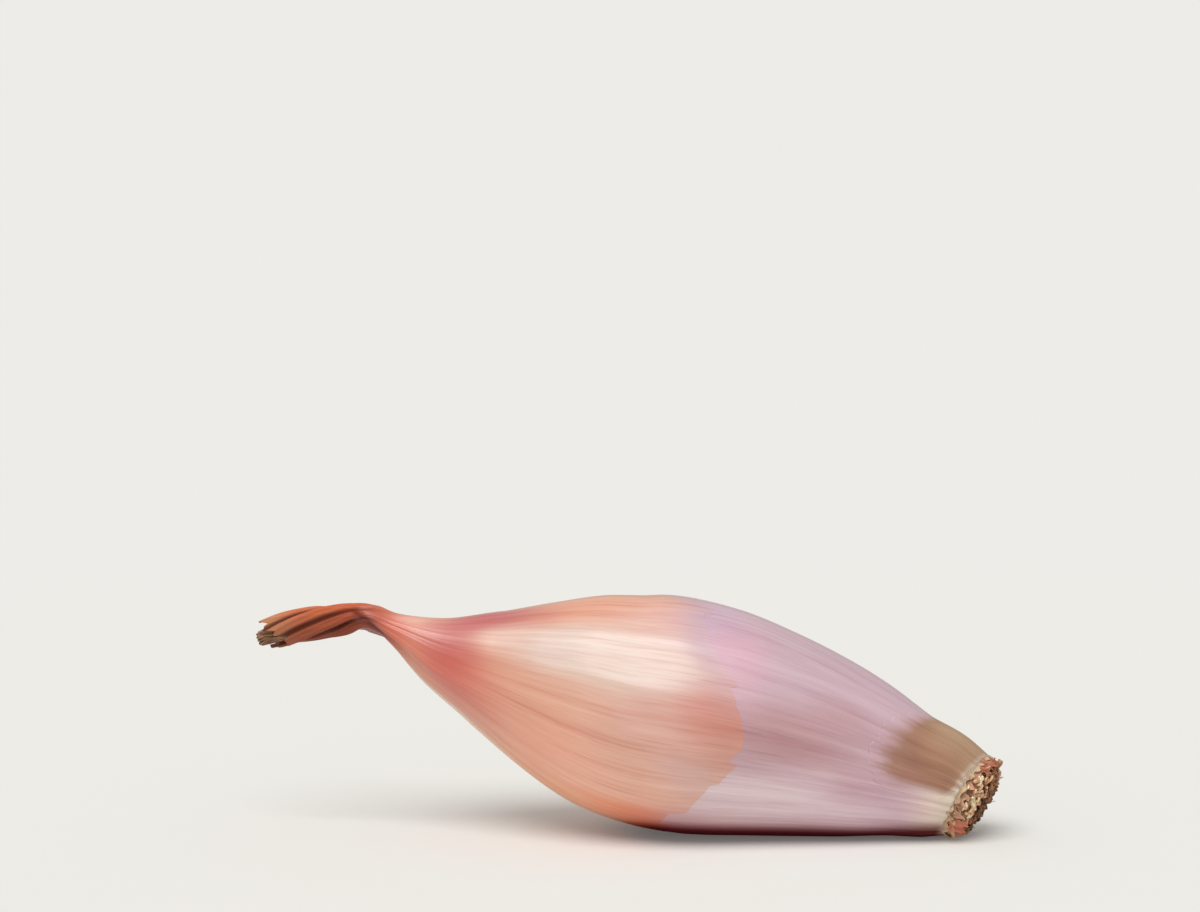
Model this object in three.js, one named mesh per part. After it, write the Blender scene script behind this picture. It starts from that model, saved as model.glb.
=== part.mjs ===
// A banana shallot lying on its side, in millimetres, +Z up.
// +X runs to the root end, -X to the dry neck, and -Y is the front side. It stands on z = 0.
import * as THREE from "three";

// Sections along the middle line, from the root plate to the end of the neck:
// the section's centre, its half height (up) and its half width (side).
const STATIONS = [
  { x: 57.4, y: -0.9, z: 6.95, up: 7.2, side: 7.1 },
  { x: 52, y: -0.2, z: 8.85, up: 9.45, side: 9.2 },
  { x: 46, y: 0, z: 10.45, up: 10.9, side: 10.6 },
  { x: 38, y: 0, z: 12.85, up: 13.55, side: 13.15 },
  { x: 30, y: 0, z: 15.1, up: 15.75, side: 15.2 },
  { x: 22, y: 0, z: 17.1, up: 17.65, side: 17.05 },
  { x: 14, y: 0, z: 18.8, up: 19.25, side: 18.6 },
  { x: 6, y: 0, z: 20.1, up: 19.9, side: 19.2 },
  { x: -2, y: 0, z: 21.45, up: 19.1, side: 18.45 },
  { x: -10, y: 0, z: 23.6, up: 17.2, side: 16.6 },
  { x: -18, y: 0, z: 25.8, up: 13.9, side: 13.4 },
  { x: -26, y: 0, z: 28.1, up: 10, side: 9.7 },
  { x: -34, y: 0, z: 30.7, up: 6.15, side: 6.3 },
  { x: -42, y: 0.1, z: 34.65, up: 2.3, side: 3.3 },
  { x: -47, y: 0.5, z: 36.8, up: 1.8, side: 3.2 },
  { x: -53, y: 1.2, z: 35.7, up: 2.7, side: 2.2 },
  { x: -60, y: 2.4, z: 34, up: 2.9, side: 2.2 },
  { x: -66, y: 3.8, z: 31.8, up: 2.7, side: 2.2 },
];
const LOBE_3 = 0.01; // how far the section is from a plain ellipse: three soft lobes and two
const LOBE_2 = 0.007;

const GAP = 0.3; // clearance between neighbouring pieces
const SKIN = 0.6; // thickness of the copper skin
const REST_DEPTH = 0.25; // what is lower than this is pressed flat on the ground
const BULB_TIP_X = -40.5; // where the fleshy bulb ends inside the neck
// The torn edge of the copper skin: its x at even steps, from the top over the front and round.
const TORN_EDGE = [6, 9, 11.5, 16.5, 19.5, 13.5, 8.5, 7, 7.5, 12, 17, 20, 19, 14, 9, 6];
const EDGE_RAMP = 5; // length over which the bare bulb rises to its full size next to the torn edge
const NECK_END = [-63.5, -64.5, -62, -61, -63, -64.5, -62.5, -61.5]; // the frayed end, in the same way

// The root end of the bulb is cut slantwise: it faces a little to the front and down.
const FACE_TURN = 12; // degrees to the front
const FACE_DIP = 7; // degrees down
const FACE_INSET = 1.4; // how far its middle lies behind the first station
const RIM_RADIUS = 7.4;

const PLATE_RADIUS = 6.85;
const PLATE_HEIGHT = 1.1;
const CRUST_RADIUS = 5;
const CRUST_HEIGHT = 1.3;
const ROOTS = 12;
const ROOT_RING = 6.1; // radius of the ring that the single roots stand on
const ROOT_RADIUS = 0.36;
const ROOT_LENGTH = 1.6;

const ROUND = 32; // facets round the bulb
const TURN = 2 * Math.PI;

const COLOURS = {
  flesh: { color: 0xc9a3ab, roughness: 0.42 },
  skin: { color: 0xd28a66, roughness: 0.38 },
  dryNeck: { color: 0xb06a44, roughness: 0.75 },
  remnant: { color: 0x9d7660, roughness: 0.7 },
  plate: { color: 0x9c7a5c, roughness: 0.85 },
  roots: { color: 0x7d5a3f, roughness: 0.9 },
  scrap: { color: 0xb35a3a, roughness: 0.7 },
};

// ---- the middle line and the sections on it ----
const LAST = STATIONS.length - 1;
const centres = new THREE.CatmullRomCurve3(
  STATIONS.map((s) => new THREE.Vector3(s.x, s.y, s.z)),
  false,
  "catmullrom",
);
const sizes = new THREE.CatmullRomCurve3(
  STATIONS.map((s) => new THREE.Vector3(s.up, s.side, 0)),
  false,
  "catmullrom",
);

const FIRST_STEP = centres.points[0].distanceTo(centres.points[1]);

// The section at station number s. Before 0 the line runs straight on, past the root end.
function sectionAt(s) {
  const t = THREE.MathUtils.clamp(s / LAST, 0, 1);
  const tangent = centres.getTangent(t);
  const centre = centres.getPoint(t).addScaledVector(tangent, Math.min(s, 0) * FIRST_STEP);
  const front = new THREE.Vector3(0, 0, 1).cross(tangent).normalize();
  const up = tangent.clone().cross(front);
  const size = sizes.getPoint(t);
  return { centre, tangent, front, up, half: size };
}

function stationAtX(x) {
  let low = 0;
  let high = LAST;
  for (let i = 0; i < 40; i++) {
    const middle = (low + high) / 2;
    if (centres.getPoint(middle / LAST).x > x) low = middle;
    else high = middle;
  }
  return low;
}

const stationAtTip = stationAtX(BULB_TIP_X);

// A closed smooth run through values spaced evenly round the section.
function around(values, angle) {
  const place = (angle / TURN) * values.length;
  const first = Math.floor(place);
  const f = place - first;
  const at = (k) => values[(((first + k) % values.length) + values.length) % values.length];
  const [a, b, c, d] = [at(-1), at(0), at(1), at(2)];
  return b + 0.5 * f * (c - a + f * (2 * a - 5 * b + 4 * c - d + f * (3 * b - a - 3 * c + d)));
}

function smooth(low, high, value) {
  return THREE.MathUtils.smoothstep(value, low, high);
}

// A point of the outside at an angle from the top over the front, moved in by inset.
// The underside is pressed flat where the shallot rests.
function surface(s, angle, inset) {
  const { centre, front, up, half } = sectionAt(s);
  const body = Math.sin(Math.PI * THREE.MathUtils.clamp(s / stationAtTip, 0, 1));
  const three = LOBE_3 * Math.sin(3 * angle + 0.8 + 0.1 * s);
  const two = LOBE_2 * Math.cos(2 * angle - 0.6 + 0.15 * s);
  const lobes = 1 + body * (three + two);
  const inward = front.clone().multiplyScalar(-Math.sin(angle)).addScaledVector(up, -Math.cos(angle));
  const point = centre
    .addScaledVector(front, half.y * lobes * Math.sin(angle))
    .addScaledVector(up, half.x * lobes * Math.cos(angle));
  const rests = point.z < REST_DEPTH;
  point.addScaledVector(inward, inset);
  if (rests) point.z = inset;
  return point;
}

// ---- the slanting face of the root end ----
const base = sectionAt(0);
const outward = base.tangent.clone().negate();
const face = outward
  .clone()
  .addScaledVector(base.front, Math.tan(THREE.MathUtils.degToRad(FACE_TURN)))
  .addScaledVector(base.up, -Math.tan(THREE.MathUtils.degToRad(FACE_DIP)))
  .normalize();
const faceCentre = base.centre.clone().addScaledVector(outward, -FACE_INSET);

// The station at which the outside meets that face.
function rimStation(angle) {
  const radial = base.front
    .clone()
    .multiplyScalar(Math.sin(angle))
    .addScaledVector(base.up, Math.cos(angle));
  const slant = (RIM_RADIUS * radial.dot(face)) / outward.dot(face);
  return (FACE_INSET + slant) / FIRST_STEP;
}

// ---- solids from rings and from pairs of surfaces ----
function solid(points, triangles) {
  const volume = triangles.reduce(
    (sum, [a, b, c]) => sum + points[a].dot(points[b].clone().cross(points[c])),
    0,
  );
  const faces = volume < 0 ? triangles.map(([a, b, c]) => [a, c, b]) : triangles;
  const geometry = new THREE.BufferGeometry();
  const flat = points.flatMap((p) => p.toArray());
  geometry.setAttribute("position", new THREE.Float32BufferAttribute(flat, 3));
  geometry.setIndex(faces.flat());
  geometry.computeVertexNormals();
  return geometry;
}

// A solid through closed rings of points, with a point on the middle of each end.
function loft(rings, startPoint, endPoint) {
  const n = rings[0].length;
  const points = [...rings.flat(), startPoint, endPoint];
  const triangles = [];
  const last = (rings.length - 1) * n;
  for (let j = 0; j < n; j++) {
    const next = (j + 1) % n;
    for (let i = 0; i < last; i += n) {
      triangles.push([i + j, i + next, i + n + next], [i + j, i + n + next, i + n + j]);
    }
    triangles.push([points.length - 2, next, j], [points.length - 1, last + j, last + next]);
  }
  return solid(points, triangles);
}

// A sheet with a thickness, from rows of points on its outside and on its inside.
// A wrapped sheet closes on itself round the section, and any other has two side edges.
function sheet(outside, inside, wrapped) {
  const rows = outside.length;
  const n = outside[0].length;
  const back = rows * n;
  const points = [...outside.flat(), ...inside.flat()];
  const triangles = [];
  const quad = (a, b, c, d) => triangles.push([a, b, c], [a, c, d]);
  const columns = wrapped ? n : n - 1;
  for (let j = 0; j < columns; j++) {
    const next = (j + 1) % n;
    for (let i = 0; i < rows - 1; i++) {
      const [a, b, c, d] = [i * n + j, i * n + next, (i + 1) * n + next, (i + 1) * n + j];
      quad(a, b, c, d);
      quad(back + d, back + c, back + b, back + a);
    }
    const end = (rows - 1) * n;
    quad(back + j, back + next, next, j);
    quad(end + j, end + next, back + end + next, back + end + j);
  }
  for (let i = 0; !wrapped && i < rows - 1; i++) {
    const [a, b] = [i * n, (i + 1) * n];
    quad(back + b, back + a, a, b);
    quad(a + n - 1, back + a + n - 1, back + b + n - 1, b + n - 1);
  }
  return solid(points, triangles);
}

const span = (count, make) => Array.from({ length: count }, (_, i) => make(i));

const shallot = new THREE.Group();

function add(name, geometry, colour, parent = shallot) {
  const material = new THREE.MeshStandardMaterial({ ...COLOURS[colour], metalness: 0 });
  const mesh = new THREE.Mesh(geometry, material);
  mesh.name = name;
  parent.add(mesh);
  return mesh;
}

// ---- the fleshy bulb ----
// It is slimmer under the copper skin, by the skin's thickness and the clearance.
function bulbInset(s, angle) {
  const edge = around(TORN_EDGE, angle);
  const { x } = sectionAt(s).centre;
  return (SKIN + GAP) * (1 - smooth(edge, edge + EDGE_RAMP, x));
}

function makeBulb() {
  const rows = 36;
  const rounding = 1.1; // stations over which the tip rounds off
  const rings = span(rows, (i) =>
    span(ROUND, (j) => {
      const angle = (TURN * j) / ROUND;
      const s = THREE.MathUtils.lerp(rimStation(angle), stationAtTip - 0.02, (i / (rows - 1)) ** 0.93);
      const near = Math.max(0, (s - stationAtTip + rounding) / rounding);
      const shrink = Math.sqrt(1 - near * near);
      return sectionAt(s).centre.lerp(surface(s, angle, bulbInset(s, angle)), shrink);
    }),
  );
  return loft(rings, faceCentre, sectionAt(stationAtTip).centre);
}

// ---- the copper skin, a thin tube that closes to the dry neck ----
function makeSkin() {
  const rows = 30;
  const side = (inset) =>
    span(rows, (i) =>
      span(ROUND, (j) => {
        const angle = (TURN * j) / ROUND;
        const from = stationAtX(around(TORN_EDGE, angle));
        const to = stationAtX(around(NECK_END, angle));
        return surface(THREE.MathUtils.lerp(from, to, i / (rows - 1)), angle, inset);
      }),
    );
  return sheet(side(0), side(SKIN), true);
}

// A dry leaf inside the neck: a thin curved strip, standing on edge.
function makeNeckLeaf(offset, startX, endX, halfHeight) {
  const rows = 7;
  const leafHalf = 0.15;
  const side = (shift) =>
    span(rows, (i) => {
      const f = i / (rows - 1);
      const { centre, front, up } = sectionAt(stationAtX(THREE.MathUtils.lerp(startX, endX, f)));
      const height = halfHeight * (1 - 0.45 * f * f);
      return span(5, (j) => {
        const v = j / 2 - 1;
        const curl = 0.25 * (1 - v * v);
        return centre
          .clone()
          .addScaledVector(up, v * height)
          .addScaledVector(front, offset + curl + shift);
      });
    });
  return sheet(side(leafHalf), side(-leafHalf), false);
}

// ---- thin scraps that lie on the bulb by the roots ----
// rootEdge and neckEdge give the station of the scrap's two ends at an angle.
function makeScrap(firstAngle, lastAngle, rootEdge, neckEdge, thickness, flare) {
  const rows = 6;
  const columns = Math.max(5, Math.round((lastAngle - firstAngle) / 0.2));
  const side = (raise) =>
    span(rows, (i) =>
      span(columns, (j) => {
        const angle = THREE.MathUtils.lerp(firstAngle, lastAngle, j / (columns - 1));
        const f = i / (rows - 1);
        const s = THREE.MathUtils.lerp(rootEdge(angle), neckEdge(angle), f);
        const lift = GAP + raise + flare * (1 - f) ** 2;
        const point = surface(s, angle, -lift);
        point.z = Math.max(point.z, GAP);
        return point;
      }),
    );
  return sheet(side(thickness), side(0), false);
}

add("fleshy_bulb", makeBulb(), "flesh");
add("outer_skin", makeSkin(), "skin");

const NECK_LEAVES = [
  { offset: 0.5, from: -58, to: -65.6, halfHeight: 1.4 },
  { offset: -0.15, from: -57, to: -66, halfHeight: 1.6 },
  { offset: -0.8, from: -58.5, to: -65, halfHeight: 1.1 },
];
NECK_LEAVES.forEach((leaf, i) => {
  const geometry = makeNeckLeaf(leaf.offset, leaf.from, leaf.to, leaf.halfHeight);
  add(`neck_leaf_${i + 1}`, geometry, "dryNeck");
});

// The brown remnant of an older skin, from one side over the top to the other.
const SCRAP_THICKNESS = 0.4;
const REMNANT = {
  first: -1.8,
  last: 1.64,
  fromRim: 0.4,
  neckEdge: [45.5, 39.5, 38, 42, 45, 45, 42, 44], // its x at even steps, like the torn edge
};
const remnant = makeScrap(
  REMNANT.first,
  REMNANT.last,
  (angle) => rimStation(angle) + REMNANT.fromRim,
  (angle) => stationAtX(around(REMNANT.neckEdge, angle)),
  SCRAP_THICKNESS,
  0,
);
add("base_skin_scrap", remnant, "remnant");

// Torn bits of red skin. Their ends are given in stations from the rim.
const RIM_SCRAPS = [
  { middle: 0.5, spread: 0.26, past: -0.4, inner: 0.15, flare: 0.6 },
  { middle: 2.3, spread: 0.3, past: -0.5, inner: 0, flare: 0.4 },
  { middle: -1.2, spread: 0.3, past: -0.2, inner: 0.22, flare: 0.5 },
];
RIM_SCRAPS.forEach(({ middle, spread, past, inner, flare }, i) => {
  const geometry = makeScrap(
    middle - spread,
    middle + spread,
    (angle) => rimStation(angle) + past,
    (angle) => rimStation(angle) + inner,
    SCRAP_THICKNESS,
    flare,
  );
  add(`rim_scrap_${i + 1}`, geometry, "scrap");
});

// ---- the root plate and its roots, in a group whose +Y points out of the root end ----
const rootEnd = new THREE.Group();
rootEnd.position.copy(faceCentre).addScaledVector(face, GAP);
rootEnd.quaternion.setFromUnitVectors(new THREE.Vector3(0, 1, 0), face);
rootEnd.updateMatrix();
shallot.add(rootEnd);

const plateProfile = [
  [0, 0],
  [PLATE_RADIUS - 0.5, 0],
  [PLATE_RADIUS, 0.4],
  [PLATE_RADIUS - 0.1, 0.9],
  [PLATE_RADIUS - 0.7, PLATE_HEIGHT],
  [CRUST_RADIUS, PLATE_HEIGHT - 0.1],
  [0, PLATE_HEIGHT],
];
const plate = new THREE.LatheGeometry(plateProfile.map(([r, h]) => new THREE.Vector2(r, h)), 28);
add("root_plate", plate, "plate", rootEnd);

// The mat of dried root stubs: a low lumpy dome on the plate.
function makeCrust() {
  const floor = PLATE_HEIGHT + GAP;
  const rings = span(5, (i) => {
    const rise = i / 4;
    return span(20, (j) => {
      const angle = (TURN * j) / 20;
      const lump = 1 + 0.1 * Math.sin(3 * angle + 1) + 0.06 * Math.sin(7 * angle + 2 * i);
      const radius = (CRUST_RADIUS - 0.6) * Math.sqrt(1 - (0.9 * rise) ** 2) * lump;
      const height = floor + CRUST_HEIGHT * rise * (1 + 0.12 * Math.sin(5 * angle));
      return new THREE.Vector3(radius * Math.cos(angle), height, radius * Math.sin(angle));
    });
  });
  const top = new THREE.Vector3(0, floor + 1.15 * CRUST_HEIGHT, 0);
  return loft(rings, new THREE.Vector3(0, floor, 0), top);
}
add("root_crust", makeCrust(), "roots", rootEnd);

// One dried root: a tapered thread that starts on the plate, leans out and bends.
function makeRoot(i) {
  const angle = (TURN * (i + 0.3 * Math.sin(5 * i))) / ROOTS;
  const radial = new THREE.Vector3(Math.cos(angle), 0, Math.sin(angle));
  const tangential = new THREE.Vector3(-radial.z, 0, radial.x);
  const length = ROOT_LENGTH * (1 + 0.45 * Math.sin(2.4 * i + 1));
  const start = radial.clone().multiplyScalar(ROOT_RING).setY(PLATE_HEIGHT + GAP);
  const bend = 0.5 * Math.sin(3.7 * i);
  const along = (f) =>
    start
      .clone()
      .add(new THREE.Vector3(0, length * f, 0))
      .addScaledVector(radial, 0.25 * length * f * f)
      .addScaledVector(tangential, bend * length * f * f);
  // A root that would reach the ground lies along it.
  const placed = (f, radius) => {
    const point = along(f).applyMatrix4(rootEnd.matrix);
    point.z = Math.max(point.z, GAP + radius);
    return point;
  };
  const sides = [radial, tangential].map((v) => v.clone().transformDirection(rootEnd.matrix));
  const rings = span(5, (k) => {
    const f = k / 4;
    const radius = ROOT_RADIUS * (1 - 0.6 * f);
    return span(6, (j) => {
      const turn = (TURN * j) / 6;
      return placed(f, radius)
        .addScaledVector(sides[0], radius * Math.cos(turn))
        .addScaledVector(sides[1], radius * Math.sin(turn));
    });
  });
  return loft(rings, placed(0, ROOT_RADIUS), placed(1, 0.4 * ROOT_RADIUS));
}
span(ROOTS, (i) => add(`root_${String(i + 1).padStart(2, "0")}`, makeRoot(i), "roots"));

// The origin is the middle of the ground under the whole shallot.
const bounds = new THREE.Box3().setFromObject(shallot, true);
const middle = bounds.getCenter(new THREE.Vector3());
shallot.position.set(-middle.x, -middle.y, -bounds.min.z);

export default shallot;
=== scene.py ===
"""A banana shallot on a pale floor: the visible surfaces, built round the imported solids.

Lengths are in millimetres along the same middle line as the solids, and MM turns them into metres.
An angle runs round the bulb from the top over the front, so the front is at 90 degrees.
"""

import math

import bmesh
import bpy
import numpy as np
from mathutils import Matrix, Vector, noise


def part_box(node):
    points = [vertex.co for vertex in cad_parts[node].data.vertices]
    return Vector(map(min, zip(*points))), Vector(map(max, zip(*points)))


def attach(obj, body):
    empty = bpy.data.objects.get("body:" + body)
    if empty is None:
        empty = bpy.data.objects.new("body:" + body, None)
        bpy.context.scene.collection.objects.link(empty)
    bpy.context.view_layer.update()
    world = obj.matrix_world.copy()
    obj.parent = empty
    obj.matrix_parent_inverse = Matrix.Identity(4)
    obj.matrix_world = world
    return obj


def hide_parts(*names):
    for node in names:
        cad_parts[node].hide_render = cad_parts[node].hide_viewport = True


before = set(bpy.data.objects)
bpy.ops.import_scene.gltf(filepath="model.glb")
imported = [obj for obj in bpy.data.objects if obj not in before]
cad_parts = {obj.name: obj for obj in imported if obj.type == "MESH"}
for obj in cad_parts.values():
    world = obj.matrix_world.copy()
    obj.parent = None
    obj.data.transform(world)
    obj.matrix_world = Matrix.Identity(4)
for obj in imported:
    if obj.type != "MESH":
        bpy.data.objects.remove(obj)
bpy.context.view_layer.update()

MM = 0.001
TURN = 2 * math.pi

# ---------------------------------------------------------------- the middle line and its sections
# x, y and z of the section's centre, then its half height and half width, as in the solids.
STATIONS = np.array([
    (57.4, -0.9, 6.95, 7.2, 7.1),
    (52, -0.2, 8.85, 9.45, 9.2),
    (46, 0, 10.45, 10.9, 10.6),
    (38, 0, 12.85, 13.55, 13.15),
    (30, 0, 15.1, 15.75, 15.2),
    (22, 0, 17.1, 17.65, 17.05),
    (14, 0, 18.8, 19.25, 18.6),
    (6, 0, 20.1, 19.9, 19.2),
    (-2, 0, 21.45, 19.1, 18.45),
    (-10, 0, 23.6, 17.2, 16.6),
    (-18, 0, 25.8, 13.9, 13.4),
    (-26, 0, 28.1, 10, 9.7),
    (-34, 0, 30.7, 6.15, 6.3),
    (-42, 0.1, 34.65, 2.3, 3.3),
    (-47, 0.5, 36.8, 1.8, 3.2),
    (-53, 1.2, 35.7, 2.7, 2.2),
    (-60, 2.4, 34.0, 2.9, 2.2),
    (-66, 3.8, 31.8, 2.7, 2.2),
])
MIDDLE_LINE, HALF_SIZES = STATIONS[:, :3], STATIONS[:, 3:]
LAST = len(STATIONS) - 1
# The section's three soft lobes, and its two: share of the radius, phase, and turn per station.
LOBES_3, LOBES_2 = (0.01, 0.8, 0.1), (0.007, -0.6, 0.15)
BULB_TIP_X = -40.5  # where the fleshy bulb ends inside the neck
# x of the edges of the skin, the neck and the brown remnant, at even steps round from the top.
TORN_EDGE = [6, 9, 11.5, 16.5, 19.5, 13.5, 8.5, 7, 7.5, 12, 17, 20, 19, 14, 9, 6]
NECK_END = [-63.5, -64.5, -62, -61, -63, -64.5, -62.5, -61.5]
REMNANT_EDGE = [45.5, 39.5, 38, 42, 45, 45, 42, 44]
FLOOR_CLEARANCE = 0.02
STEPS_PER_STATION = 200
SOLID_SIDES = 32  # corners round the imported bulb
ROUND_ONLY = (1e6, 2e6)  # wavelengths so long that a ripple changes only with the angle
GRAIN_SCALE = 0.01  # grain coordinates per mm along the fibres


def smooth(low, high, value):
    t = np.clip((value - low) / (high - low), 0, 1)
    return t * t * (3 - 2 * t)


def unit(vectors):
    return vectors / np.linalg.norm(vectors, axis=-1, keepdims=True)


def across(along):
    """The directions to the front and up that stand square to a direction along the bulb."""
    front = unit(np.cross([0.0, 0.0, 1.0], along))
    return front, np.cross(along, front)


def cubic(a, b, c, d, f):
    """The Catmull-Rom curve from b to c, at the share f of the way."""
    return b + 0.5 * f * (c - a + f * (2 * a - 5 * b + 4 * c - d + f * (3 * b - a - 3 * c + d)))


def cubic_slope(a, b, c, d, f):
    return 0.5 * (c - a + 2 * f * (2 * a - 5 * b + 4 * c - d) + 3 * f * f * (3 * b - a - 3 * c + d))


def catmull(rows, s, slope=False):
    """Catmull-Rom through the rows at station numbers s, or its slope."""
    s = np.clip(np.asarray(s, float), 0, len(rows) - 1)
    first = np.minimum(s.astype(int), len(rows) - 2)
    f = (s - first)[..., None]
    padded = np.vstack([2 * rows[0] - rows[1], rows, 2 * rows[-1] - rows[-2]])
    neighbours = (padded[first + k] for k in range(4))
    return cubic_slope(*neighbours, f) if slope else cubic(*neighbours, f)


def frame_at(s):
    """The section's centre at station s, and the directions along the bulb, to the front and up."""
    along = unit(catmull(MIDDLE_LINE, s, slope=True))
    return catmull(MIDDLE_LINE, s), along, *across(along)


def around(values, angle):
    """A closed smooth run through values spaced evenly round the section."""
    values = np.asarray(values, float)
    position = np.asarray(angle) / TURN * len(values)
    first = np.floor(position).astype(int)
    neighbours = (values[(first + k) % len(values)] for k in (-1, 0, 1, 2))
    return cubic(*neighbours, position - first)


# The middle line in fine steps: station number, x, and length from the root plate.
DENSE = np.linspace(0, LAST, STEPS_PER_STATION * LAST + 1)
DENSE_POINTS = catmull(MIDDLE_LINE, DENSE)
DENSE_X = DENSE_POINTS[:, 0]
STEP_LENGTHS = np.linalg.norm(np.diff(DENSE_POINTS, axis=0), axis=1)
DENSE_LENGTH = np.concatenate([[0], np.cumsum(STEP_LENGTHS)])


def station_at(x):
    return np.interp(-np.asarray(x, float), -DENSE_X, DENSE)


def x_at(s):
    return np.interp(s, DENSE, DENSE_X)


def length_at(s):
    """How far station s is from the root plate along the middle line."""
    return np.interp(s, DENSE, DENSE_LENGTH) + np.minimum(s, 0) * (STATIONS[0, 0] - STATIONS[1, 0])


TIP = float(station_at(BULB_TIP_X))


def surface(s, angle, out=0.0):
    """Points of the outside, raised by out. Below station 0 the surface runs straight on past the roots."""
    s, angle, out = np.broadcast_arrays(np.asarray(s, float), angle, out)
    centre, tangent, front, up = frame_at(s)
    half = catmull(HALF_SIZES, s)
    body = np.sin(math.pi * np.clip(s / TIP, 0, 1))
    three = LOBES_3[0] * np.sin(3 * angle + LOBES_3[1] + LOBES_3[2] * s)
    two = LOBES_2[0] * np.cos(2 * angle + LOBES_2[1] + LOBES_2[2] * s)
    lobes = 1 + body * (three + two)
    side = front * (np.sin(angle) * (half[..., 1] * lobes + out))[..., None]
    point = centre + side + up * (np.cos(angle) * (half[..., 0] * lobes + out))[..., None]
    point = point + tangent * np.minimum(length_at(s), 0)[..., None]
    point[..., 2] = np.maximum(point[..., 2], FLOOR_CLEARANCE)
    return point + SHIFT


SHIFT = np.zeros(3)
BASE_CENTRE, INWARD, BASE_FRONT, BASE_UP = frame_at(0.0)
OUTWARD = -INWARD
# The root plate doesn't sit square: it faces a little to the front and down.
FACE_TURN, FACE_DIP = math.radians(12), math.radians(7)
FACE = unit(OUTWARD + BASE_FRONT * math.tan(FACE_TURN) - BASE_UP * math.tan(FACE_DIP))
FACE_FRONT, FACE_UP = across(-FACE)
RIM_RADIUS, FACE_INSET = 7.4, 1.4


def rim_station(angle):
    """Where the surface meets the slanting plane of the root plate."""
    radial = np.multiply.outer(np.sin(angle), BASE_FRONT) + np.multiply.outer(np.cos(angle), BASE_UP)
    inward = FACE_INSET + RIM_RADIUS * (radial @ FACE) / (OUTWARD @ FACE)
    return inward / np.linalg.norm(MIDDLE_LINE[1] - MIDDLE_LINE[0])


# The solids are centred over the origin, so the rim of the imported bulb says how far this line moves.
RIM_ANGLES = TURN * np.arange(SOLID_SIDES) / SOLID_SIDES
RIM_X = surface(rim_station(RIM_ANGLES), RIM_ANGLES)[:, 0]
SHIFT[0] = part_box("fleshy_bulb")[1].x / MM - RIM_X.max()
FACE_CENTRE = BASE_CENTRE + SHIFT - OUTWARD * FACE_INSET


# ---------------------------------------------------------------- small helpers
def ripples(seed, angle, along, turns, lengths, count=14):
    """Smooth noise of about -1 to 1 on the skin: waves with whole turns round it and long wavelengths."""
    rng = np.random.default_rng(seed)
    total = 0.0
    for _ in range(count):
        n = rng.integers(turns[0], turns[1] + 1)
        k = TURN / rng.uniform(*lengths) * rng.choice([-1, 1])
        total = total + np.cos(n * angle + k * along + rng.uniform(0, TURN))
    return total / math.sqrt(count)


def linear(*srgb):
    """An albedo in linear light from the 0 to 255 colour that it shows."""
    c = np.asarray(srgb, float) / 255
    return np.where(c <= 0.04045, c / 12.92, ((c + 0.055) / 1.055) ** 2.4)


def paint(x, angle, base, spots):
    """Blends a base colour with spots (x, degrees, spread in mm, spread in degrees, strength, colour)."""
    weights = np.ones_like(x)
    colour = np.ones(x.shape + (3,)) * linear(*base)
    for at_x, degrees, wide, tall, strength, rgb in spots:
        turn = (np.degrees(angle) - degrees + 180) % 360 - 180
        w = strength * np.exp(-(((x - at_x) / wide) ** 2) - (turn / tall) ** 2)
        colour = colour + w[..., None] * linear(*rgb)
        weights = weights + w
    return colour / weights[..., None]


def lay_over(tint, share, over):
    """A tint with a share of another one over it."""
    share = share[..., None]
    return tint * (1 - share) + share * over


def with_gloss(tint, gloss):
    """Tints with a share of the material's gloss as a fourth value."""
    return np.concatenate([tint, np.broadcast_to(gloss, tint.shape[:-1])[..., None]], -1)


class Pile:
    """Points, faces, tints and grain coordinates that become one mesh."""

    def __init__(self):
        self.points, self.faces, self.tints, self.grains = [], [], [], []
        self.count = 0

    def add(self, points, faces, tint, grain):
        points = np.asarray(points, float).reshape(-1, 3)
        self.faces += [tuple(int(i) + self.count for i in face) for face in faces]
        self.points.append(points)
        tint = np.asarray(tint, float)
        tint = tint if tint.shape[-1] == 4 else with_gloss(tint, 1.0)
        self.tints.append(np.broadcast_to(tint, (len(points), 4)))
        self.grains.append(np.broadcast_to(np.asarray(grain, float), (len(points), 3)))
        self.count += len(points)

    def make(self, name, material):
        mesh = bpy.data.meshes.new(name)
        mesh.from_pydata((np.vstack(self.points) * MM).tolist(), [], self.faces)
        tint = mesh.attributes.new("tint", "FLOAT_COLOR", "POINT")
        tint.data.foreach_set("color", np.clip(np.vstack(self.tints), 0, 1).astype(np.float32).ravel())
        grain = mesh.attributes.new("grain", "FLOAT_VECTOR", "POINT")
        grain.data.foreach_set("vector", np.vstack(self.grains).astype(np.float32).ravel())
        work = bmesh.new()
        work.from_mesh(mesh)
        bmesh.ops.recalc_face_normals(work, faces=work.faces)
        work.to_mesh(mesh)
        work.free()
        mesh.shade_smooth()
        mesh.materials.append(material)
        piece = bpy.data.objects.new(name, mesh)
        bpy.context.scene.collection.objects.link(piece)
        return piece


def grid_faces(rows, columns, wrap, start=0):
    i, j = np.meshgrid(np.arange(rows - 1), np.arange(columns if wrap else columns - 1), indexing="ij")
    k = (j + 1) % columns
    quads = np.stack([i * columns + j, i * columns + k, (i + 1) * columns + k, (i + 1) * columns + j], -1)
    return (quads.reshape(-1, 4) + start).tolist()


def with_ends(values):
    """The values of a grid in one list, and after them the mean of its first ring and of its last."""
    if values.ndim < 3:
        return values
    return np.vstack([values.reshape(-1, values.shape[-1]), values[0].mean(0), values[-1].mean(0)])


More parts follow.
